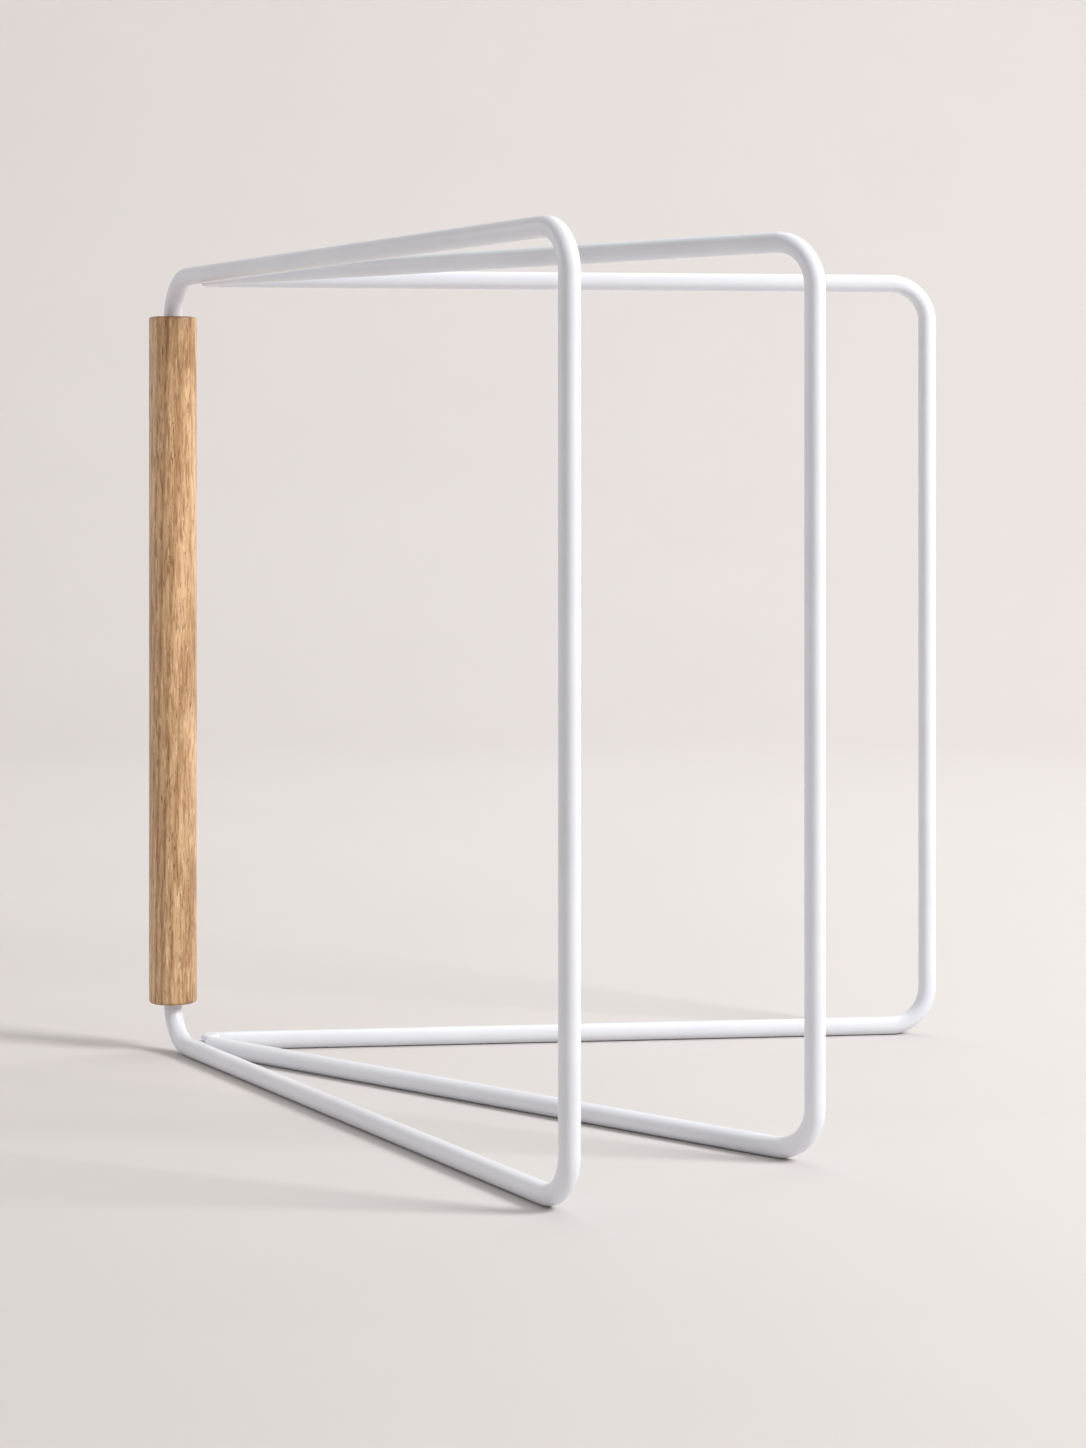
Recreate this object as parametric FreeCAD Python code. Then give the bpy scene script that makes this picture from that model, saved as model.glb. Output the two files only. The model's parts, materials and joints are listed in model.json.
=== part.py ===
import FreeCAD, Part
import math
import os

# A free-standing folding drying rack. Three equal square frames of bent steel tube turn about one
# upright line beside an oak handle and fold flat against each other like the leaves of a book.
#
# The model's frame: the origin is on the handle's axis at floor level, +Z is up, +X runs along the
# front frame, and +Y is the side that the middle and the rear frame open to. Millimetres.

# Driving dimensions
TUBE_D = 12.0  # outside diameter of all three frames' tube
TUBE_WALL = 1.5
FRAME_SIZE = 512.0  # centre line to centre line, across and up
BEND_R = 26.0  # every bend, on the centre line
HANDLE_D = 32.0
HANDLE_LENGTH = 460.0  # all of the upright's straight length
HANDLE_ROUND = 2.0  # rounding of its two rims
STUB_DEPTH = 60.0  # how far the front frame's ends go into the handle
STUB_PLAY = 0.05  # radial room round them
MIDDLE_OPEN = 19.5  # degrees from the front frame to the middle frame
REAR_OPEN = 66.0  # degrees from the front frame to the rear frame

# The hinges: a tongue on the front frame, a flush rivet, and one eye on each side of the tongue.
# Shut, the rivets' line lies midway between the middle and the rear frame's tubes.
FOLDED_GAP = 0.4  # between neighbouring tubes when the rack is shut
PIN_X = 20.0  # the pivot line, along the front frame from the handle's axis
TONGUE_R = 5.5
TONGUE_THICK = 3.0
TONGUE_EDGE = 0.5
RIVET_R = 2.5
RIVET_HEAD_R = 3.7
RIVET_HEAD_DEEP = 1.2
RIVET_PLAY = 0.05  # radial, between the rivet and what turns on it
WASHER_R = 5.0
WASHER_THICK = 0.4
EYE_PLAY = 0.05  # between an eye and its washer
EYE_R = 6.0
EYE_FACE = 5.8  # an eye's outer face, from the rail's axis
EYE_ROUND = 2.0  # rounding of an eye's outer rim

# The end fitting, one part used four times: it closes a turning frame's tube end, carries the
# tube's round on past the pivot at part of its height, and has an eye on its side. The middle
# frame's are the rear frame's turned over.
NOSE_X = -1.0  # centre of its round nose, along the rail from the pivot line
COLLAR_START = 6.5
COLLAR_THICK = 2.0
SPIGOT_LENGTH = 18.0
SPIGOT_PLAY = 0.05

# The brads that pin the handle to the front frame's ends
BRAD_R = 0.8
BRAD_LENGTH = 24.0
BRAD_SUNK = 0.6
BRAD_FROM_END = 17.0
BRAD_AZIMUTH = -45.0  # degrees about the handle, from the front frame

# Derived sizes
TUBE_R = TUBE_D / 2
BORE_R = TUBE_R - TUBE_WALL
LOW_RAIL_Z = TUBE_R
HIGH_RAIL_Z = LOW_RAIL_Z + FRAME_SIZE
MID_Z = (LOW_RAIL_Z + HIGH_RAIL_Z) / 2
HANDLE_LOW_Z = MID_Z - HANDLE_LENGTH / 2
HANDLE_HIGH_Z = MID_Z + HANDLE_LENGTH / 2
SIDE_STEP = (TUBE_D + FOLDED_GAP) / 2  # from the pivot line to each turning frame's tube
PIN_Y = 3 * SIDE_STEP
REACH = FRAME_SIZE - PIN_X  # pivot line to the outer upright of a turning frame
TUBE_START = COLLAR_START + COLLAR_THICK
EYE_BACK = TONGUE_THICK / 2 + WASHER_THICK + EYE_PLAY  # an eye's inner face, from the rail's axis

UP = FreeCAD.Vector(0, 0, 1)
ALONG = FreeCAD.Vector(1, 0, 0)
ORIGIN = FreeCAD.Vector(0, 0, 0)


def save(node, shape):
    """Write one sub-part to its own STEP file."""
    shape.exportStep(f"parts/{node}.step")


def rod(radius, start, direction, length):
    """A solid cylinder."""
    return Part.makeCylinder(radius, length, start, direction)


def box(x, y, z):
    """A box from three (low, high) pairs."""
    corner = FreeCAD.Vector(x[0], y[0], z[0])
    return Part.makeBox(x[1] - x[0], y[1] - y[0], z[1] - z[0], corner)


def bent_path(points):
    """A wire through the points, with an arc of BEND_R at each square corner between them."""
    edges = []
    here = points[0]
    for corner, after in zip(points[1:-1], points[2:]):
        back = (here - corner).normalize()
        ahead = (after - corner).normalize()
        arc_start = corner + back * BEND_R
        arc_end = corner + ahead * BEND_R
        inward = (back + ahead) * BEND_R
        arc_middle = corner + inward * (1 - math.sqrt(0.5))
        edges.append(Part.LineSegment(here, arc_start).toShape())
        edges.append(Part.Arc(arc_start, arc_middle, arc_end).toShape())
        here = arc_end
    edges.append(Part.LineSegment(here, points[-1]).toShape())
    return Part.Wire(edges)


def bent_rod(points, radius):
    """A round bar of this radius along the bent path."""
    direction = points[1] - points[0]
    ring = Part.Wire(Part.makeCircle(radius, points[0], direction))
    return bent_path(points).makePipe(Part.Face(ring))


def bent_tube(points):
    """The frames' tube along the bent path, open at both ends."""
    return bent_rod(points, TUBE_R).cut(bent_rod(points, BORE_R))


def put_on_pivot(shape, angle):
    """Turn a shape made about the origin by angle, and set it on the pivot line."""
    placed = shape.copy()
    placed.rotate(ORIGIN, UP, angle)
    placed.translate(FreeCAD.Vector(PIN_X, PIN_Y, 0))
    return placed


def mirrored_up(shape):
    """The upper twin of a piece of the lower hinge."""
    return shape.mirror(FreeCAD.Vector(0, 0, MID_Z), UP)


def save_pair(name, lower):
    """Save a lower piece and its upper twin, as lower_NAME and upper_NAME."""
    save(f"lower_{name}", lower)
    save(f"upper_{name}", mirrored_up(lower))


# The three frames ----------------------------------------------------------------------------


def front_frame_points():
    """From inside the handle's lower end, round the square, to inside its upper end."""
    low_end = FreeCAD.Vector(0, 0, HANDLE_LOW_Z + STUB_DEPTH)
    high_end = FreeCAD.Vector(0, 0, HANDLE_HIGH_Z - STUB_DEPTH)
    corners = [
        FreeCAD.Vector(0, 0, LOW_RAIL_Z),
        FreeCAD.Vector(FRAME_SIZE, 0, LOW_RAIL_Z),
        FreeCAD.Vector(FRAME_SIZE, 0, HIGH_RAIL_Z),
        FreeCAD.Vector(0, 0, HIGH_RAIL_Z),
    ]
    return [low_end, *corners, high_end]


def turning_frame_points(side):
    """A three-sided frame that starts and ends at the pivot, its tube set off sideways by side."""
    return [
        FreeCAD.Vector(TUBE_START, side, LOW_RAIL_Z),
        FreeCAD.Vector(REACH, side, LOW_RAIL_Z),
        FreeCAD.Vector(REACH, side, HIGH_RAIL_Z),
        FreeCAD.Vector(TUBE_START, side, HIGH_RAIL_Z),
    ]


# The handle ----------------------------------------------------------------------------------


def brad(height):
    """One brad, driven in across the handle's axis at this height."""
    angle = math.radians(BRAD_AZIMUTH)
    outward = FreeCAD.Vector(math.cos(angle), math.sin(angle), 0)
    head = outward * (HANDLE_D / 2 - BRAD_SUNK) + UP * height
    return rod(BRAD_R, head, outward * -1, BRAD_LENGTH)


def brad_hole(height):
    """The hole for a brad, which runs on to the handle's surface above its head."""
    sinking = brad(height)
    angle = math.radians(BRAD_AZIMUTH)
    outward = FreeCAD.Vector(math.cos(angle), math.sin(angle), 0)
    head = outward * (HANDLE_D / 2 - BRAD_SUNK) + UP * height
    return sinking.fuse(rod(BRAD_R, head, outward, 2 * BRAD_SUNK))


def oak_handle():
    """A turned bar with rounded rims and a blind bore in each end."""
    low = FreeCAD.Vector(0, 0, HANDLE_LOW_Z)
    high = FreeCAD.Vector(0, 0, HANDLE_HIGH_Z)
    bar = rod(HANDLE_D / 2, low, UP, HANDLE_LENGTH)
    rims = [edge for edge in bar.Edges if isinstance(edge.Curve, Part.Circle)]
    bar = bar.makeFillet(HANDLE_ROUND, rims)
    bore_r = TUBE_R + STUB_PLAY
    bar = bar.cut(rod(bore_r, low, UP, STUB_DEPTH))
    return bar.cut(rod(bore_r, high, UP * -1, STUB_DEPTH))


# The lower hinge; its upper twin is the same, upside down -------------------------------------


def hinge_lug(front_bar):
    """A flat tongue, shaped to the back of the front frame's bend that it is welded to."""
    pin_foot = FreeCAD.Vector(PIN_X, PIN_Y, LOW_RAIL_Z - TONGUE_THICK / 2)
    height = (LOW_RAIL_Z - TONGUE_THICK / 2, LOW_RAIL_Z + TONGUE_THICK / 2)
    lug = box((PIN_X - TONGUE_R, PIN_X + TONGUE_R), (0, PIN_Y), height)
    lug = lug.fuse(rod(TONGUE_R, pin_foot, UP, TONGUE_THICK)).removeSplitter()
    level_edges = [edge for edge in lug.Edges if edge.BoundBox.ZLength < 1e-6]
    outline = [edge for edge in level_edges if edge.BoundBox.YMax > TONGUE_EDGE]
    lug = lug.makeFillet(TONGUE_EDGE, outline)
    return lug.cut(rod(RIVET_R, pin_foot, UP, TONGUE_THICK)).cut(front_bar)


def flush_pin(radius, head_r):
    """A pin as long as the hinge is high, widening to a flush head at each end, on the pivot line."""
    foot = FreeCAD.Vector(0, 0, LOW_RAIL_Z - EYE_FACE)
    crown = FreeCAD.Vector(0, 0, LOW_RAIL_Z + EYE_FACE)
    pin = rod(radius, foot, UP, 2 * EYE_FACE)
    for face, inward in ((foot, UP), (crown, UP * -1)):
        pin = pin.fuse(Part.makeCone(head_r, radius, RIVET_HEAD_DEEP, face, inward))
    return pin.removeSplitter()


def hinge_washers():
    """Two nylon washers, one on each face of the tongue."""
    ring = rod(WASHER_R, ORIGIN, UP, WASHER_THICK)
    ring = ring.cut(rod(RIVET_R + RIVET_PLAY, ORIGIN, UP, WASHER_THICK))
    washers = []
    for level in (-TONGUE_THICK / 2 - WASHER_THICK, TONGUE_THICK / 2):
        washer = ring.copy()
        washer.translate(FreeCAD.Vector(0, 0, LOW_RAIL_Z + level))
        washers.append(washer)
    return Part.makeCompound(washers)


def rear_end_fitting():
    """The eye lies above the tongue, and the tube behind the pivot line."""
    nose = FreeCAD.Vector(NOSE_X, SIDE_STEP, LOW_RAIL_Z)
    start = FreeCAD.Vector(COLLAR_START, SIDE_STEP, LOW_RAIL_Z)
    mouth = FreeCAD.Vector(TUBE_START, SIDE_STEP, LOW_RAIL_Z)
    round_end = rod(TUBE_R, nose, ALONG, COLLAR_START - NOSE_X)
    round_end = round_end.fuse(Part.makeSphere(TUBE_R, nose))
    above = box((-TUBE_D, TUBE_D), (-TUBE_D, 2 * TUBE_D), (LOW_RAIL_Z + EYE_BACK, 2 * TUBE_D))
    eye = rod(EYE_R, FreeCAD.Vector(0, 0, LOW_RAIL_Z + EYE_BACK), UP, EYE_FACE - EYE_BACK)
    rims = [edge for edge in eye.Edges if edge.BoundBox.ZMin > LOW_RAIL_Z + EYE_FACE - 1e-6]
    eye = eye.makeFillet(EYE_ROUND, rims)
    fitting = round_end.common(above).fuse(eye)
    fitting = fitting.cut(flush_pin(RIVET_R + RIVET_PLAY, RIVET_HEAD_R + RIVET_PLAY))
    fitting = fitting.fuse(rod(TUBE_R, start, ALONG, COLLAR_THICK))
    spigot = rod(BORE_R - SPIGOT_PLAY, mouth, ALONG, SPIGOT_LENGTH)
    return fitting.fuse(spigot).removeSplitter()


def middle_end_fitting():
    """The same part turned over about the rail: the eye below, the tube before the pivot line."""
    turned = rear_end_fitting()
    turned.rotate(FreeCAD.Vector(0, 0, LOW_RAIL_Z), ALONG, 180)
    return turned


# Putting it together -------------------------------------------------------------------------

os.makedirs("parts", exist_ok=True)

brad_heights = (HANDLE_LOW_Z + BRAD_FROM_END, HANDLE_HIGH_Z - BRAD_FROM_END)
brad_holes = Part.makeCompound([brad_hole(height) for height in brad_heights])

save("front_frame", bent_tube(front_frame_points()).cut(brad_holes))
save("oak_handle", oak_handle().cut(brad_holes))
save("handle_brads", Part.makeCompound([brad(height) for height in brad_heights]))

save("middle_frame", put_on_pivot(bent_tube(turning_frame_points(-SIDE_STEP)), MIDDLE_OPEN))
save("rear_frame", put_on_pivot(bent_tube(turning_frame_points(SIDE_STEP)), REAR_OPEN))

save_pair("hinge_lug", hinge_lug(bent_rod(front_frame_points(), TUBE_R)))
save_pair("hinge_rivet", put_on_pivot(flush_pin(RIVET_R, RIVET_HEAD_R), 0))
save_pair("hinge_washers", put_on_pivot(hinge_washers(), 0))
save_pair("middle_end_fitting", put_on_pivot(middle_end_fitting(), MIDDLE_OPEN))
save_pair("rear_end_fitting", put_on_pivot(rear_end_fitting(), REAR_OPEN))
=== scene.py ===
import json
import math
import bmesh
import bpy
from mathutils import Matrix, Vector


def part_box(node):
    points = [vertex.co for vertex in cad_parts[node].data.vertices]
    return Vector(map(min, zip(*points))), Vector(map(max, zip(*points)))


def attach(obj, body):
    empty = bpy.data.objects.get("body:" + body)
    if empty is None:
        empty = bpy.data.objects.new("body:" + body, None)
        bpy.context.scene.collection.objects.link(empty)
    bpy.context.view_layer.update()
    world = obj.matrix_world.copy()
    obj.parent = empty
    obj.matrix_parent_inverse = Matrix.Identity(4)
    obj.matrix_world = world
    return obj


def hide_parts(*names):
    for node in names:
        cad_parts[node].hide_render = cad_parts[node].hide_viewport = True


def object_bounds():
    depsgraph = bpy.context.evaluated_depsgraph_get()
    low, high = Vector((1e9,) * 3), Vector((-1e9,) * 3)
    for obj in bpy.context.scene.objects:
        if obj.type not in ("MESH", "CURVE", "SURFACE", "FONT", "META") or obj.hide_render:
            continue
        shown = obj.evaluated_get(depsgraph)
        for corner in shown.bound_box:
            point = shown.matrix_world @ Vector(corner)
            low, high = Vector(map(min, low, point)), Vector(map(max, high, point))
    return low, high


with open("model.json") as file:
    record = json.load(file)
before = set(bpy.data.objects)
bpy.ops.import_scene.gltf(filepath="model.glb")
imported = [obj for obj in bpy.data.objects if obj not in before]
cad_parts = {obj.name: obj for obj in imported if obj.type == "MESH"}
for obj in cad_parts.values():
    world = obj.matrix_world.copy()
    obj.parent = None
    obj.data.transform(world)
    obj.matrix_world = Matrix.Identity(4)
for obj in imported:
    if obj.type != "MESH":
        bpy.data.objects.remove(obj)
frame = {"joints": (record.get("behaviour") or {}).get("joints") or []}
cad_low, cad_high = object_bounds()

# ---------------------------------------------------------------------------------------------
# Front frame
# One length of 12 mm steel tube, bent four times on a draw bender into a square loop whose two
# ends point at each other and go into the handle. It is degreased, dipped in white powder and baked.

TUBE_R = 0.006
TUBE_WALL = 0.0015
TUBE_SIDES = 48
BEND_R = 0.026
BEND_STEPS = 20
RUN_STEP = 0.02  # length of one band of faces along a straight run
FORMER_SQUEEZE = 0.03  # how much the former flattens the tube half way round a bend
SHARP_ANGLE = math.radians(40)  # a turn of the surface sharper than this is a real edge
CORNER_ANGLE = 1.0  # radians; a turn sharper than this gets a bevel
UP = Vector((0, 0, 1))
WHITE = "white_powder_coat"


def new_piece(name, bm, material, body, slot, *nodes):
    """Turn a finished bmesh into a smooth piece that rides on its body and stands for CAD nodes."""
    bmesh.ops.recalc_face_normals(bm, faces=bm.faces)
    mesh = bpy.data.meshes.new(name)
    bm.to_mesh(mesh)
    bm.free()
    for face in mesh.polygons:
        face.use_smooth = True
    mesh.set_sharp_from_angle(angle=SHARP_ANGLE)
    piece = bpy.data.objects.new(name, mesh)
    bpy.context.scene.collection.objects.link(piece)
    mesh.materials.append(material)
    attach(piece, body)
    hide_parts(*nodes)
    return piece


def ring(bm, radius, centre, facing, sides=TUBE_SIDES):
    """A ring of edges round a centre, square to a direction."""
    turn = facing.to_track_quat("Z", "Y").to_matrix().to_4x4()
    place = Matrix.Translation(centre) @ turn
    made = bmesh.ops.create_circle(bm, cap_ends=False, segments=sides, radius=radius, matrix=place)
    return list(dict.fromkeys(edge for vert in made["verts"] for edge in vert.link_edges))


def draw_straight(bm, edges, travel):
    """Pull a ring of edges out along a straight run, in bands."""
    bands = max(1, round(travel.length / RUN_STEP))
    for _ in range(bands):
        made = bmesh.ops.extrude_edge_only(bm, edges=edges)["geom"]
        verts = [part for part in made if isinstance(part, bmesh.types.BMVert)]
        bmesh.ops.translate(bm, verts=verts, vec=travel / bands)
        edges = [part for part in made if isinstance(part, bmesh.types.BMEdge)]
    return edges


def draw_round(bm, edges, centre, axis, inward):
    """Pull a ring of edges a quarter turn round a bend, a little flattened half way."""
    for step in range(BEND_STEPS):
        made = bmesh.ops.extrude_edge_only(bm, edges=edges)["geom"]
        verts = [part for part in made if isinstance(part, bmesh.types.BMVert)]
        edges = [part for part in made if isinstance(part, bmesh.types.BMEdge)]
        turn = Matrix.Rotation(math.pi / 2 / BEND_STEPS, 3, axis)
        bmesh.ops.rotate(bm, verts=verts, cent=centre, matrix=turn)
        inward = turn @ inward
        middle = centre - inward * BEND_R
        before = squeeze_at(step)
        after = squeeze_at(step + 1)
        lay = inward.to_track_quat("Z", "Y").to_matrix().to_4x4()
        space = lay.inverted() @ Matrix.Translation(-middle)
        bmesh.ops.scale(bm, verts=verts, vec=(1, 1, after / before), space=space)
    return edges


def squeeze_at(step):
    """How thick the tube is towards the bend's centre, at a step round the bend."""
    return 1 - FORMER_SQUEEZE * math.sin(math.pi * step / BEND_STEPS) ** 2


def draw_wall(bm, points, radius):
    """One wall of the tube, drawn along the path. Gives its first and its last ring."""
    here = points[0]
    first = ring(bm, radius, here, points[1] - here)
    edges = first
    for corner, after in zip(points[1:-1], points[2:]):
        into = (corner - here).normalized()
        out = (after - corner).normalized()
        start = corner - into * BEND_R
        edges = draw_straight(bm, edges, start - here)
        edges = draw_round(bm, edges, start + out * BEND_R, into.cross(out), out)
        here = corner + out * BEND_R
    return first, draw_straight(bm, edges, points[-1] - here)


def bent_tube(points):
    """A hollow tube along the path, with its bends, open at both ends."""
    bm = bmesh.new()
    outer_ends = draw_wall(bm, points, TUBE_R)
    inner_ends = draw_wall(bm, points, TUBE_R - TUBE_WALL)
    for outer, inner in zip(outer_ends, inner_ends):
        bmesh.ops.bridge_loops(bm, edges=outer + inner)
    return bm


def powder_coat():
    """Baked white powder: satin, faintly pebbled, a very little uneven in tone."""
    material = bpy.data.materials.new("white_powder_coat")
    material.use_nodes = True
    nodes = material.node_tree.nodes
    link = material.node_tree.links.new
    shader = nodes["Principled BSDF"]
    shader.inputs["Coat Weight"].default_value = 0.35
    shader.inputs["Coat Roughness"].default_value = 0.12
    place = nodes.new("ShaderNodeTexCoord").outputs["Object"]

    drift = nodes.new("ShaderNodeTexNoise")
    drift.inputs["Scale"].default_value = 18.0
    drift.inputs["Detail"].default_value = 4.0
    link(place, drift.inputs["Vector"])
    tone = nodes.new("ShaderNodeValToRGB")
    tone.color_ramp.elements[0].position = 0.3
    tone.color_ramp.elements[0].color = (0.765, 0.785, 0.845, 1)
    tone.color_ramp.elements[1].position = 0.7
    tone.color_ramp.elements[1].color = (0.815, 0.835, 0.89, 1)
    link(drift.outputs["Fac"], tone.inputs["Fac"])
    link(tone.outputs["Color"], shader.inputs["Base Color"])

    sheen = nodes.new("ShaderNodeMapRange")
    sheen.inputs["To Min"].default_value = 0.30
    sheen.inputs["To Max"].default_value = 0.40
    link(drift.outputs["Fac"], sheen.inputs["Value"])
    link(sheen.outputs["Result"], shader.inputs["Roughness"])

    pebble = nodes.new("ShaderNodeTexNoise")
    pebble.inputs["Scale"].default_value = 700.0
    pebble.inputs["Detail"].default_value = 2.0
    link(place, pebble.inputs["Vector"])
    relief = nodes.new("ShaderNodeBump")
    relief.inputs["Strength"].default_value = 0.12
    relief.inputs["Distance"].default_value = 0.0002
    link(pebble.outputs["Fac"], relief.inputs["Height"])
    link(relief.outputs["Normal"], shader.inputs["Normal"])
    return material


white_coat = powder_coat()

front_low, front_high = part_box("front_frame")
handle_low, handle_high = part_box("oak_handle")
STUB_DEPTH = 0.060  # how far each end goes into the handle
low_rail_z = front_low.z + TUBE_R
high_rail_z = front_high.z - TUBE_R
outer_x = front_high.x - TUBE_R

front_points = [
    Vector((0, 0, handle_low.z + STUB_DEPTH)),
    Vector((0, 0, low_rail_z)),
    Vector((outer_x, 0, low_rail_z)),
    Vector((outer_x, 0, high_rail_z)),
    Vector((0, 0, high_rail_z)),
    Vector((0, 0, handle_high.z - STUB_DEPTH)),
]
front_tube = bent_tube(front_points)
new_piece("front_frame_tube", front_tube, white_coat, "front_leaf", WHITE, "front_frame")

# ---------------------------------------------------------------------------------------------
# Middle and rear frames
# The same tube, bent twice into three sides of the same square. Both turn on one upright line behind
# the front frame's bends. Shut, that line lies midway between their tubes.

FOLDED_GAP = 0.0004  # between neighbouring tubes when the rack is shut
SIDE_STEP = TUBE_R + FOLDED_GAP / 2  # from the pivot line to each turning frame's tube
TUBE_START = 0.0085  # where a turning frame's tube begins, from the pivot line

middle_joint, rear_joint = frame["joints"]
pivot = Vector(middle_joint["pos_m"])
frame_reach = outer_x - pivot.x

# Each joint's lower limit is its frame shut, so the limits say how far the frames stand open.
middle_open = math.radians(-middle_joint["range_deg"][0])
rear_open = middle_open + math.radians(-rear_joint["range_deg"][0])
at_pivot = Matrix.Translation((pivot.x, pivot.y, 0))
middle_place = at_pivot @ Matrix.Rotation(middle_open, 4, UP)
rear_place = at_pivot @ Matrix.Rotation(rear_open, 4, UP)


def turning_frame(name, node, body, place, side):
    """A three-sided frame, made shut along +X from the pivot, then turned open."""
    points = [
        Vector((TUBE_START, side, low_rail_z)),
        Vector((frame_reach, side, low_rail_z)),
        Vector((frame_reach, side, high_rail_z)),
        Vector((TUBE_START, side, high_rail_z)),
    ]
    bm = bent_tube(points)
    bmesh.ops.transform(bm, matrix=place, verts=bm.verts)
    return new_piece(name, bm, white_coat, body, WHITE, node)


turning_frame("middle_frame_tube", "middle_frame", "middle_leaf", middle_place, -SIDE_STEP)
turning_frame("rear_frame_tube", "rear_frame", "rear_leaf", rear_place, SIDE_STEP)

# ---------------------------------------------------------------------------------------------
# End fittings
# One small zinc casting, used four times: a spigot pressed into the tube's mouth, a collar the tube's
# own size, a round nose of part of its height, and a flat eye on its side. The middle frame's are
# turned over, so that one eye lies over the hinge's tongue and the other under it.

TONGUE_THICK = 0.003
WASHER_THICK = 0.0004
PLAY = 0.00005  # between parts that slide or turn on each other
EYE_BACK = TONGUE_THICK / 2 + WASHER_THICK + PLAY  # an eye's inner face, from the rail's axis
EYE_FACE = 0.0058  # its outer face
EYE_R = 0.006
EYE_ROUND = 0.002
EYE_HOLE_R = 0.00255
SINK_R = 0.00375  # the hole widens to this for the rivet's head
SINK_DEEP = 0.0012
NOSE_X = -0.001  # centre of the nose, from the pivot line
COLLAR_START = 0.0065
SPIGOT_R = TUBE_R - TUBE_WALL - PLAY
SPIGOT_LENGTH = 0.018
SPIGOT_END = TUBE_START + SPIGOT_LENGTH
SPIGOT_TAPER = 0.0012
JOINT_EDGE = 0.0002  # rounding of the collar where it meets the tube
ALONG = Vector((1, 0, 0))
lower = Matrix.Identity(4)
upper = Matrix.Translation((0, 0, low_rail_z + high_rail_z)) @ Matrix.Scale(-1, 4, UP)


def quarter_round(radius, steps):
    """(across, along) steps of a quarter circle, from its tip to its widest."""
    angles = [math.pi / 2 * step / steps for step in range(steps + 1)]
    return [(radius * math.sin(angle), radius * math.cos(angle)) for angle in angles]


def turned(bm, foot, along, profile):
    """A surface of revolution from (radius, distance) steps along its axis. Gives its end rings."""
    radius, distance = profile[0]
    first = ring(bm, radius, foot + along * distance, along)
    edges = first
    lay = along.to_track_quat("Z", "Y").to_matrix().to_4x4()
    for next_radius, next_distance in profile[1:]:
        made = bmesh.ops.extrude_edge_only(bm, edges=edges)["geom"]
        verts = [part for part in made if isinstance(part, bmesh.types.BMVert)]
        edges = [part for part in made if isinstance(part, bmesh.types.BMEdge)]
        bmesh.ops.translate(bm, verts=verts, vec=along * (next_distance - distance))
        space = lay.inverted() @ Matrix.Translation(-(foot + along * next_distance))
        grow = next_radius / radius
        bmesh.ops.scale(bm, verts=verts, vec=(grow, grow, 1), space=space)
        radius, distance = next_radius, next_distance
    return first, edges


def turned_solid(bm, foot, along, profile):
    """The same with both ends closed."""
    for edges in turned(bm, foot, along, profile):
        bmesh.ops.contextual_create(bm, geom=edges)


def end_fitting(turned_over):
    """Made shut along +X from the lower hinge's pivot line; turned over about its tube's axis."""
    bm = bmesh.new()
    tube_foot = Vector((0, SIDE_STEP, 0))
    nose = [(across, NOSE_X - along) for across, along in quarter_round(TUBE_R, 16)[1:]]
    turned_solid(bm, tube_foot, ALONG, nose + [(TUBE_R, COLLAR_START + JOINT_EDGE)])
    everything = bm.verts[:] + bm.edges[:] + bm.faces[:]
    cut = bmesh.ops.bisect_plane(
        bm, geom=everything, plane_co=(0, 0, EYE_BACK), plane_no=UP, clear_inner=True
    )["geom_cut"]
    bmesh.ops.contextual_create(bm, geom=[part for part in cut if isinstance(part, bmesh.types.BMEdge)])

    rim = [
        (EYE_R - EYE_ROUND + across, EYE_FACE - EYE_ROUND + along)
        for across, along in reversed(quarter_round(EYE_ROUND, 8))
    ]
    eye = [(EYE_HOLE_R, EYE_BACK), (EYE_R, EYE_BACK)] + rim
    eye += [(SINK_R, EYE_FACE), (EYE_HOLE_R, EYE_FACE - SINK_DEEP)]
    hole_ends = turned(bm, Vector(), UP, eye)
    bmesh.ops.bridge_loops(bm, edges=hole_ends[0] + hole_ends[1])

    plug = [
        (TUBE_R, COLLAR_START),
        (TUBE_R, TUBE_START - JOINT_EDGE),
        (TUBE_R - JOINT_EDGE, TUBE_START),
        (SPIGOT_R, TUBE_START),
        (SPIGOT_R, SPIGOT_END - SPIGOT_TAPER),
        (SPIGOT_R - SPIGOT_TAPER, SPIGOT_END),
    ]
    turned_solid(bm, tube_foot, ALONG, plug)
    if turned_over:
        bmesh.ops.rotate(bm, verts=bm.verts, matrix=Matrix.Rotation(math.pi, 3, ALONG))
    bmesh.ops.translate(bm, verts=bm.verts, vec=(0, 0, low_rail_z))
    return bm


for level, flip in (("lower", lower), ("upper", upper)):
    for leaf, place, over in (("middle", middle_place, True), ("rear", rear_place, False)):
        bm = end_fitting(over)
        bmesh.ops.transform(bm, matrix=flip @ place, verts=bm.verts)
        node = f"{level}_{leaf}_end_fitting"
        new_piece(f"{node}_casting", bm, white_coat, f"{leaf}_leaf", WHITE, node)

# ---------------------------------------------------------------------------------------------
# Hinge lugs
# A tongue of 3 mm flat bar with a round end, welded to the back of the front frame's bend with a row
# of weld puddles above and below, and coated along with it. The eyes turn on its two faces.

TONGUE_R = 0.0055
TONGUE_EDGE = 0.0005
ROOT_R = 0.0006
ROOT_Y = 0.0052  # the tongue starts inside the tube's wall
PUDDLE_R = 0.0010
PUDDLES = 7
PUDDLE_Y = 0.0058
PUDDLE_SHAPE = (1.2, 1.0, 0.8, 1)


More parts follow.
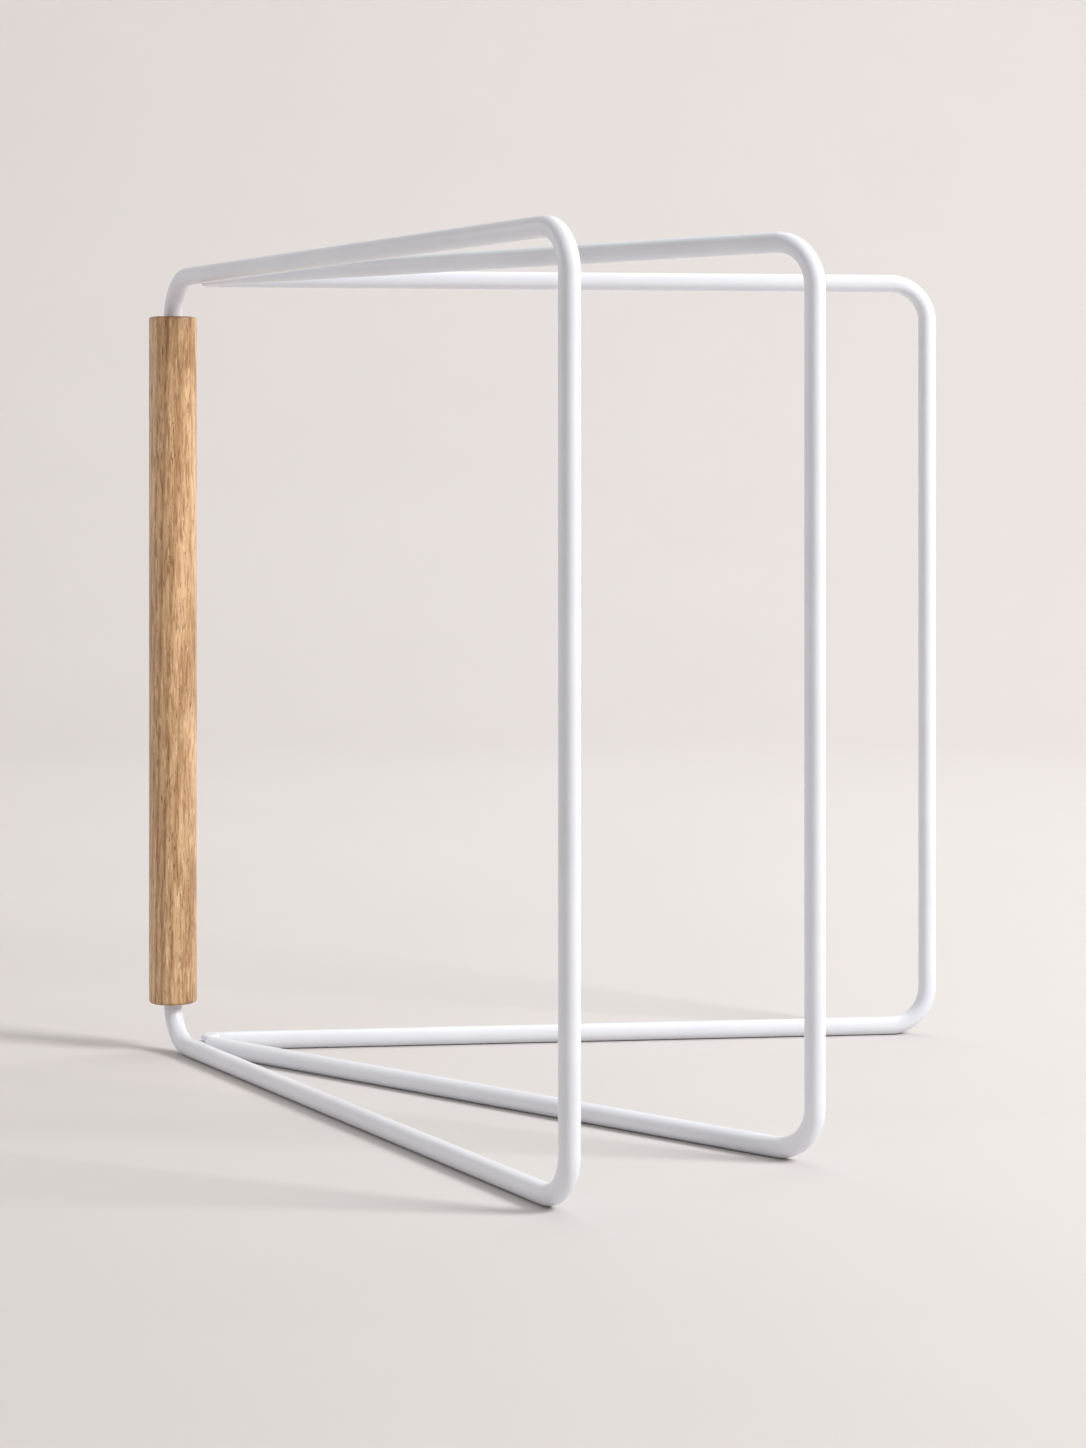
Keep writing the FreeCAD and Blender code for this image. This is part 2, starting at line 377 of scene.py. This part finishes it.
def tongue(bm):
    """The tight outline round the tongue's end and its two root corners, made solid."""
    half = TONGUE_THICK / 2
    corner_x = TONGUE_R - ROOT_R
    rounds = ((TONGUE_R, 0, pivot.y), (ROOT_R, -corner_x, ROOT_Y), (ROOT_R, corner_x, ROOT_Y))
    for radius, x, y in rounds:
        for level in (-half, half):
            ring(bm, radius, Vector((pivot.x + x, y, level)), UP)
    hull = bmesh.ops.convex_hull(bm, input=bm.verts[:])
    inside = [part for part in hull["geom_interior"] if isinstance(part, bmesh.types.BMVert)]
    bmesh.ops.delete(bm, geom=inside, context="VERTS")
    bmesh.ops.dissolve_limit(bm, angle_limit=math.radians(1), verts=bm.verts, edges=bm.edges)
    rims = [edge for edge in bm.edges if edge.is_manifold and edge.calc_face_angle() > CORNER_ANGLE]
    bmesh.ops.bevel(
        bm, geom=rims, offset=TONGUE_EDGE, segments=3, profile=0.5, affect="EDGES", material=-1
    )


for level, flip in (("lower", lower), ("upper", upper)):
    bm = bmesh.new()
    tongue(bm)
    for step in range(PUDDLES):
        x = pivot.x + TONGUE_R * (2 * (step + 0.5) / PUDDLES - 1)
        for side in (-1, 1):
            spot = Matrix.Translation((x, PUDDLE_Y, side * TONGUE_THICK / 2))
            shape = spot @ Matrix.Diagonal(PUDDLE_SHAPE)
            bmesh.ops.create_uvsphere(bm, u_segments=20, v_segments=12, radius=PUDDLE_R, matrix=shape)
    bmesh.ops.translate(bm, verts=bm.verts, vec=(0, 0, low_rail_z))
    bmesh.ops.transform(bm, matrix=flip, verts=bm.verts)
    new_piece(f"{level}_hinge_tongue", bm, white_coat, "front_leaf", WHITE, f"{level}_hinge_lug")

# ---------------------------------------------------------------------------------------------
# Rivets and washers
# Each pivot is a 5 mm rivet, tight in the tongue, its ends closed flush into the two eyes. A thin nylon
# washer on each face of the tongue keeps the eyes off it.

RIVET_R = 0.0025
HEAD_R = 0.0037
CROWN = 0.0002
WASHER_R = 0.005


def nylon():
    """Punched natural nylon: milky, smooth, lets a little light in."""
    material = bpy.data.materials.new("white_nylon")
    material.use_nodes = True
    nodes = material.node_tree.nodes
    link = material.node_tree.links.new
    shader = nodes["Principled BSDF"]
    shader.inputs["Roughness"].default_value = 0.42
    shader.inputs["Subsurface Weight"].default_value = 0.2
    shader.inputs["Subsurface Scale"].default_value = 0.001
    place = nodes.new("ShaderNodeTexCoord").outputs["Object"]
    cloud = nodes.new("ShaderNodeTexNoise")
    cloud.inputs["Scale"].default_value = 500.0
    link(place, cloud.inputs["Vector"])
    tone = nodes.new("ShaderNodeValToRGB")
    tone.color_ramp.elements[0].color = (0.72, 0.72, 0.69, 1)
    tone.color_ramp.elements[1].color = (0.82, 0.82, 0.80, 1)
    link(cloud.outputs["Fac"], tone.inputs["Fac"])
    link(tone.outputs["Color"], shader.inputs["Base Color"])
    return material


white_nylon = nylon()


def hinge_rivet():
    """The lower rivet: a shank with a flush, very slightly crowned head at each end."""
    bm = bmesh.new()
    half = [(RIVET_R, EYE_FACE - SINK_DEEP), (HEAD_R, EYE_FACE - CROWN), (HEAD_R - CROWN, EYE_FACE)]
    under = [(radius, -distance) for radius, distance in reversed(half)]
    turned_solid(bm, Vector((pivot.x, pivot.y, low_rail_z)), UP, under + half)
    return bm


def hinge_washers():
    """Two washers, punched from sheet, one on each face of the tongue."""
    bm = bmesh.new()
    for level in (-TONGUE_THICK / 2 - WASHER_THICK, TONGUE_THICK / 2):
        foot = Vector((pivot.x, pivot.y, low_rail_z + level))
        section = [(EYE_HOLE_R, 0), (WASHER_R, 0), (WASHER_R, WASHER_THICK), (EYE_HOLE_R, WASHER_THICK)]
        ends = turned(bm, foot, UP, section)
        bmesh.ops.bridge_loops(bm, edges=ends[0] + ends[1])
    return bm


for level, flip in (("lower", lower), ("upper", upper)):
    for name, bm, material, slot in (
        ("rivet", hinge_rivet(), white_coat, WHITE),
        ("washers", hinge_washers(), white_nylon, "white_nylon"),
    ):
        bmesh.ops.transform(bm, matrix=flip, verts=bm.verts)
        node = f"{level}_hinge_{name}"
        new_piece(f"{node}_set", bm, material, "front_leaf", slot, node)

# ---------------------------------------------------------------------------------------------
# Oak handle
# A straight-grained oak bar, turned to 32 mm on a lathe with its two rims eased, bored at each end for
# the front frame's tube, and oiled. The grain runs up the bar and its open pores show as short dashes.

HANDLE_R = 0.016
HANDLE_RIM = 0.002
HANDLE_SIDES = 128
BORE_R = TUBE_R + PLAY
BORE_EDGE = 0.0003
BRAD_R = 0.0008
BRAD_SUNK = 0.0006
BRAD_FROM_END = 0.017
BRAD_AZIMUTH = math.radians(-45)
PIT_LIP = 0.0001
PIT_DEPTH = 0.0009
PIT_CORNER = 0.00045
BAR_BANDS = 16  # even bands between the two nail holes


def grain(nodes, link, place, stretch, scale, waver):
    """Fine noise drawn out along the bar by stretch, and wavering a little."""
    lay = nodes.new("ShaderNodeMapping")
    lay.inputs["Scale"].default_value = (1, 1, 1 / stretch)
    link(place, lay.inputs["Vector"])
    noise = nodes.new("ShaderNodeTexNoise")
    noise.inputs["Scale"].default_value = scale
    noise.inputs["Detail"].default_value = 5.0
    noise.inputs["Roughness"].default_value = 0.6
    noise.inputs["Distortion"].default_value = waver
    link(lay.outputs["Vector"], noise.inputs["Vector"])
    return noise.outputs["Fac"]


def ramp(nodes, link, source, stops):
    """Turn a value into colours."""
    made = nodes.new("ShaderNodeValToRGB")
    elements = made.color_ramp.elements
    while len(elements) < len(stops):
        elements.new(0.5)
    for element, (position, colour) in zip(elements, stops):
        element.position = position
        element.color = (*colour, 1)
    link(source, made.inputs["Fac"])
    return made.outputs["Color"]


def mixed(nodes, link, kind, amount, under, over):
    """Lay one colour over another."""
    mix = nodes.new("ShaderNodeMix")
    mix.data_type = "RGBA"
    mix.blend_type = kind
    factor, _, _, _, _, _, first, second = mix.inputs[:8]
    if isinstance(amount, float):
        factor.default_value = amount
    else:
        link(amount, factor)
    link(under, first)
    link(over, second)
    return mix.outputs[2]


def oiled_oak():
    """Growth rings cut slantwise by the lathe, broken streaks, and open pores sunk in the surface."""
    material = bpy.data.materials.new("oak")
    material.use_nodes = True
    nodes = material.node_tree.nodes
    link = material.node_tree.links.new
    shader = nodes["Principled BSDF"]
    place = nodes.new("ShaderNodeTexCoord").outputs["Object"]

    heart = nodes.new("ShaderNodeMapping")
    heart.inputs["Location"].default_value = (0.031, 0.018, 0)
    heart.inputs["Rotation"].default_value = (0.022, -0.016, 0)
    link(place, heart.inputs["Vector"])
    rings = nodes.new("ShaderNodeTexWave")
    rings.wave_type = "RINGS"
    rings.rings_direction = "Z"
    rings.inputs["Scale"].default_value = 70.0
    rings.inputs["Distortion"].default_value = 2.2
    rings.inputs["Detail"].default_value = 3.0
    rings.inputs["Detail Scale"].default_value = 0.35
    link(heart.outputs["Vector"], rings.inputs["Vector"])
    early, late = (0.69, 0.45, 0.245), (0.50, 0.295, 0.135)
    wood = ramp(nodes, link, rings.outputs["Fac"], [(0.0, late), (0.5, early), (1.0, early)])

    patches = grain(nodes, link, place, 6.0, 55.0, 0.4)
    shade = ramp(nodes, link, patches, [(0.36, (0.78, 0.71, 0.62)), (0.60, (1.08, 1.08, 1.08))])
    wood = mixed(nodes, link, "MULTIPLY", 0.9, wood, shade)

    streaks = grain(nodes, link, place, 10.0, 460.0, 1.1)
    dark = ramp(nodes, link, streaks, [(0.37, (0.52, 0.38, 0.25)), (0.53, (1.0, 1.0, 1.0))])
    wood = mixed(nodes, link, "MULTIPLY", 0.8, wood, dark)

    flecks = grain(nodes, link, place, 7.0, 560.0, 0.6)
    pale = ramp(nodes, link, flecks, [(0.54, (0.0, 0.0, 0.0)), (0.68, (0.22, 0.19, 0.14))])
    wood = mixed(nodes, link, "ADD", 1.0, wood, pale)

    pore_field = grain(nodes, link, place, 7.0, 800.0, 0.4)
    pores = ramp(nodes, link, pore_field, [(0.34, (0.0, 0.0, 0.0)), (0.385, (1.0, 1.0, 1.0))])
    pore_tone = ramp(nodes, link, pores, [(0.0, (0.30, 0.19, 0.12)), (1.0, (1.0, 1.0, 1.0))])
    wood = mixed(nodes, link, "MULTIPLY", 0.85, wood, pore_tone)

    height = nodes.new("ShaderNodeSeparateXYZ")
    link(place, height.inputs["Vector"])
    from_end = nodes.new("ShaderNodeMapRange")
    from_end.inputs["From Min"].default_value = handle_low.z
    from_end.inputs["From Max"].default_value = handle_high.z
    link(height.outputs["Z"], from_end.inputs["Value"])
    end_tone, end_share = (0.52, 0.40, 0.30), HANDLE_RIM / (handle_high.z - handle_low.z)
    ends = [(0.0, end_tone), (end_share, (1, 1, 1)), (1 - end_share, (1, 1, 1)), (1.0, end_tone)]
    wood = mixed(nodes, link, "MULTIPLY", 1.0, wood, ramp(nodes, link, from_end.outputs["Result"], ends))
    link(wood, shader.inputs["Base Color"])

    oil = nodes.new("ShaderNodeMapRange")
    oil.inputs["To Min"].default_value = 0.46
    oil.inputs["To Max"].default_value = 0.26
    link(streaks, oil.inputs["Value"])
    link(oil.outputs["Result"], shader.inputs["Roughness"])
    shader.inputs["Coat Weight"].default_value = 0.35
    shader.inputs["Coat Roughness"].default_value = 0.28

    sunk = nodes.new("ShaderNodeBump")
    sunk.inputs["Strength"].default_value = 0.5
    sunk.inputs["Distance"].default_value = 0.0002
    link(pores, sunk.inputs["Height"])
    ridges = nodes.new("ShaderNodeBump")
    ridges.inputs["Strength"].default_value = 0.6
    ridges.inputs["Distance"].default_value = 0.0004
    link(streaks, ridges.inputs["Height"])
    link(sunk.outputs["Normal"], ridges.inputs["Normal"])
    link(ridges.outputs["Normal"], shader.inputs["Normal"])
    return material


def lathe_band(bm, edges, radius_before, radius, rise):
    """Pull a ring of edges on to the next radius and height of a piece turned about +Z."""
    made = bmesh.ops.extrude_edge_only(bm, edges=edges)["geom"]
    verts = [part for part in made if isinstance(part, bmesh.types.BMVert)]
    grow = radius / radius_before
    bmesh.ops.scale(bm, verts=verts, vec=(grow, grow, 1))
    bmesh.ops.translate(bm, verts=verts, vec=(0, 0, rise))
    return [part for part in made if isinstance(part, bmesh.types.BMEdge)]


def oak_bar():
    """The bar with its two blind bores, eased rims, and a nail hole near each end."""
    bm = bmesh.new()
    edges = ring(bm, BORE_R, Vector((0, 0, handle_low.z + STUB_DEPTH)), UP, HANDLE_SIDES)
    bmesh.ops.contextual_create(bm, geom=edges)
    mouth = lathe_band(bm, edges, BORE_R, BORE_R, -STUB_DEPTH)
    rim = lathe_band(bm, mouth, BORE_R, HANDLE_R, 0)
    edges = rim
    bore_mouths = list(mouth)
    rims = list(rim)
    nail_from = BRAD_FROM_END - BRAD_R
    plain = handle_high.z - handle_low.z - 2 * (nail_from + 2 * BRAD_R)
    for rise in [nail_from, 2 * BRAD_R] + [plain / BAR_BANDS] * BAR_BANDS + [2 * BRAD_R, nail_from]:
        edges = lathe_band(bm, edges, HANDLE_R, HANDLE_R, rise)
    rims += edges
    edges = lathe_band(bm, edges, HANDLE_R, BORE_R, 0)
    bore_mouths += edges
    edges = lathe_band(bm, edges, BORE_R, BORE_R, -STUB_DEPTH)
    bmesh.ops.contextual_create(bm, geom=edges)
    bmesh.ops.bevel(
        bm, geom=bore_mouths, offset=BORE_EDGE, segments=2, profile=0.5, affect="EDGES", material=-1
    )
    bmesh.ops.bevel(
        bm, geom=rims, offset=HANDLE_RIM, segments=8, profile=0.5, affect="EDGES", material=-1
    )
    for height in brad_heights:
        nail_pit(bm, height)
    return bm


def nail_pit(bm, height):
    """Sink a small round pit in the bar's side at this height, for a brad's head."""
    spot = brad_way * HANDLE_R + UP * height
    faces = sorted(bm.faces, key=lambda face: (face.calc_center_median() - spot).length)[:2]
    bmesh.ops.inset_region(bm, faces=faces, thickness=PIT_LIP)
    made = bmesh.ops.extrude_face_region(bm, geom=faces)["geom"]
    floor = [part for part in made if isinstance(part, bmesh.types.BMVert)]
    bmesh.ops.translate(bm, verts=floor, vec=brad_way * -PIT_DEPTH)
    walls = [edge for vert in floor for edge in vert.link_edges if edge.other_vert(vert) not in floor]
    corners = [edge for edge in walls if edge.calc_face_angle() > CORNER_ANGLE]
    bmesh.ops.bevel(
        bm, geom=corners, offset=PIT_CORNER, segments=3, profile=0.5, affect="EDGES", material=-1
    )


brad_heights = (handle_low.z + BRAD_FROM_END, handle_high.z - BRAD_FROM_END)
brad_way = Vector((math.cos(BRAD_AZIMUTH), math.sin(BRAD_AZIMUTH), 0))
oak = oiled_oak()
new_piece("oak_handle_bar", oak_bar(), oak, "front_leaf", "oak", "oak_handle")

# ---------------------------------------------------------------------------------------------
# Brads
# A headless steel pin through the handle and the tube inside it, near each end, set just under the
# wood.

BRAD_LENGTH = 0.024


def dark_steel():
    """Drawn wire, dulled."""
    material = bpy.data.materials.new("dark_steel")
    material.use_nodes = True
    nodes = material.node_tree.nodes
    link = material.node_tree.links.new
    shader = nodes["Principled BSDF"]
    shader.inputs["Metallic"].default_value = 1.0
    place = nodes.new("ShaderNodeTexCoord").outputs["Object"]
    scuff = nodes.new("ShaderNodeTexNoise")
    scuff.inputs["Scale"].default_value = 1500.0
    link(place, scuff.inputs["Vector"])
    tone = nodes.new("ShaderNodeValToRGB")
    tone.color_ramp.elements[0].color = (0.16, 0.15, 0.14, 1)
    tone.color_ramp.elements[1].color = (0.34, 0.33, 0.31, 1)
    link(scuff.outputs["Fac"], tone.inputs["Fac"])
    link(tone.outputs["Color"], shader.inputs["Base Color"])
    shader.inputs["Roughness"].default_value = 0.45
    return material


bm = bmesh.new()
for height in brad_heights:
    middle = brad_way * (HANDLE_R - BRAD_SUNK - BRAD_LENGTH / 2) + UP * height
    lay = Matrix.Translation(middle) @ brad_way.to_track_quat("Z", "Y").to_matrix().to_4x4()
    bmesh.ops.create_cone(
        bm, cap_ends=True, segments=24, radius1=BRAD_R, radius2=BRAD_R, depth=BRAD_LENGTH, matrix=lay
    )
new_piece("handle_brad_pins", bm, dark_steel(), "front_leaf", "bright_steel", "handle_brads")

# ---------------------------------------------------------------------------------------------
# Floor and backdrop
# A round sweep of pale studio paper: flat under the rack, curving up into a plain wall.

SWEEP_R = 4.4
SWEEP_CURVE = 2.0
SWEEP_STEPS = 16
SWEEP_SIDES = 128
SWEEP_HEIGHT = 4.0
PAPER_DARK = (0.645, 0.616, 0.604)
PAPER_LIGHT = (0.653, 0.624, 0.612)


def pale_paper():
    """Matt warm-white paper, a little mottled."""
    material = bpy.data.materials.new("studio_paper")
    material.use_nodes = True
    nodes = material.node_tree.nodes
    link = material.node_tree.links.new
    shader = nodes["Principled BSDF"]
    shader.inputs["Roughness"].default_value = 0.9
    shader.inputs["Specular IOR Level"].default_value = 0.2
    place = nodes.new("ShaderNodeTexCoord").outputs["Object"]
    mottle = nodes.new("ShaderNodeTexNoise")
    mottle.inputs["Scale"].default_value = 3.0
    link(place, mottle.inputs["Vector"])
    tone = ramp(nodes, link, mottle.outputs["Fac"], [(0.3, PAPER_DARK), (0.7, PAPER_LIGHT)])
    link(tone, shader.inputs["Base Color"])
    return material


bm = bmesh.new()
radius = SWEEP_R - SWEEP_CURVE
height = 0
edges = ring(bm, radius, Vector(), UP, SWEEP_SIDES)
bmesh.ops.contextual_create(bm, geom=edges)
for step in range(1, SWEEP_STEPS + 1):
    angle = math.pi / 2 * step / SWEEP_STEPS
    next_radius = SWEEP_R - SWEEP_CURVE + SWEEP_CURVE * math.sin(angle)
    next_height = SWEEP_CURVE * (1 - math.cos(angle))
    edges = lathe_band(bm, edges, radius, next_radius, next_height - height)
    radius, height = next_radius, next_height
lathe_band(bm, edges, radius, radius, SWEEP_HEIGHT - height)
rack_middle = (Vector(cad_low) + Vector(cad_high)) / 2
bmesh.ops.translate(bm, verts=bm.verts, vec=(rack_middle.x, rack_middle.y, 0))
mesh = bpy.data.meshes.new("studio_sweep")
bm.to_mesh(mesh)
bm.free()
for face in mesh.polygons:
    face.use_smooth = len(face.vertices) == 4
mesh.materials.append(pale_paper())
sweep = bpy.data.objects.new("studio_sweep", mesh)
bpy.context.scene.collection.objects.link(sweep)

# ---------------------------------------------------------------------------------------------
# Camera
# Level, a little above mid-height, two metres off, with the front frame turned about sixty degrees
# away from it and the handle on the left.

VIEW_TURN = math.radians(59.17)
CAMERA_RIGHT = 0.2486
CAMERA_BACK = 1.9671
CAMERA_HEIGHT = 0.3879
SENSOR = 36
LENS = 72.8
RISE = -0.174  # how far the lens is raised on the sensor, in picture heights

view_turn = Matrix.Rotation(VIEW_TURN, 3, UP)


def seen(right, away, height):
    """A place given as the camera sees it, from the handle's foot."""
    return view_turn @ Vector((right, away, height))


camera_data = bpy.data.cameras.new("camera")
camera_data.sensor_width = SENSOR
camera_data.lens = LENS
camera_data.shift_y = RISE
camera = bpy.data.objects.new("camera", camera_data)
bpy.context.scene.collection.objects.link(camera)
camera.location = seen(CAMERA_RIGHT, -CAMERA_BACK, CAMERA_HEIGHT)
camera.rotation_euler = (math.pi / 2, 0, VIEW_TURN)
bpy.context.scene.camera = camera

# ---------------------------------------------------------------------------------------------
# Light
# A big soft box on the right, a weak one on the left, one washing the backdrop, and a white ceiling.

# Places are right, away and up as the camera sees them, from the handle's foot.
KEY_PLACE = (2.45, -1.0, 1.8)
KEY_POWER = 74
FILL_PLACE = (-2.0, 0.2, 0.9)
FILL_POWER = 5
WASH_PLACE = (1.1, 1.2, 3.0)
WASH_AIM = (1.1, 3.9, 0.7)
WASH_POWER = 67
CEILING = 0.62
WHITE_LIGHT = (1.0, 1.0, 1.0)


def soft_box(name, place, aim, width, height, power, colour):
    """A large flat soft light, aimed at a point."""
    data = bpy.data.lights.new(name, "AREA")
    data.shape = "RECTANGLE"
    data.size = width
    data.size_y = height
    data.energy = power
    data.color = colour
    lamp = bpy.data.objects.new(name, data)
    bpy.context.scene.collection.objects.link(lamp)
    lamp.location = place
    lamp.rotation_euler = (aim - place).to_track_quat("-Z", "Y").to_euler()
    lamp.visible_camera = False
    return lamp


soft_box("key", seen(*KEY_PLACE), rack_middle, 0.75, 1.0, KEY_POWER, (1.0, 1.0, 0.995))
soft_box("fill", seen(*FILL_PLACE), rack_middle, 1.4, 1.4, FILL_POWER, WHITE_LIGHT)
soft_box("wash", seen(*WASH_PLACE), seen(*WASH_AIM), 2.8, 0.8, WASH_POWER, WHITE_LIGHT)

world = bpy.data.worlds.new("room")
bpy.context.scene.world = world
world.use_nodes = True
world.node_tree.nodes["Background"].inputs["Color"].default_value = (1.0, 1.0, 1.0, 1)
world.node_tree.nodes["Background"].inputs["Strength"].default_value = CEILING
bpy.context.scene.view_settings.view_transform = "Standard"
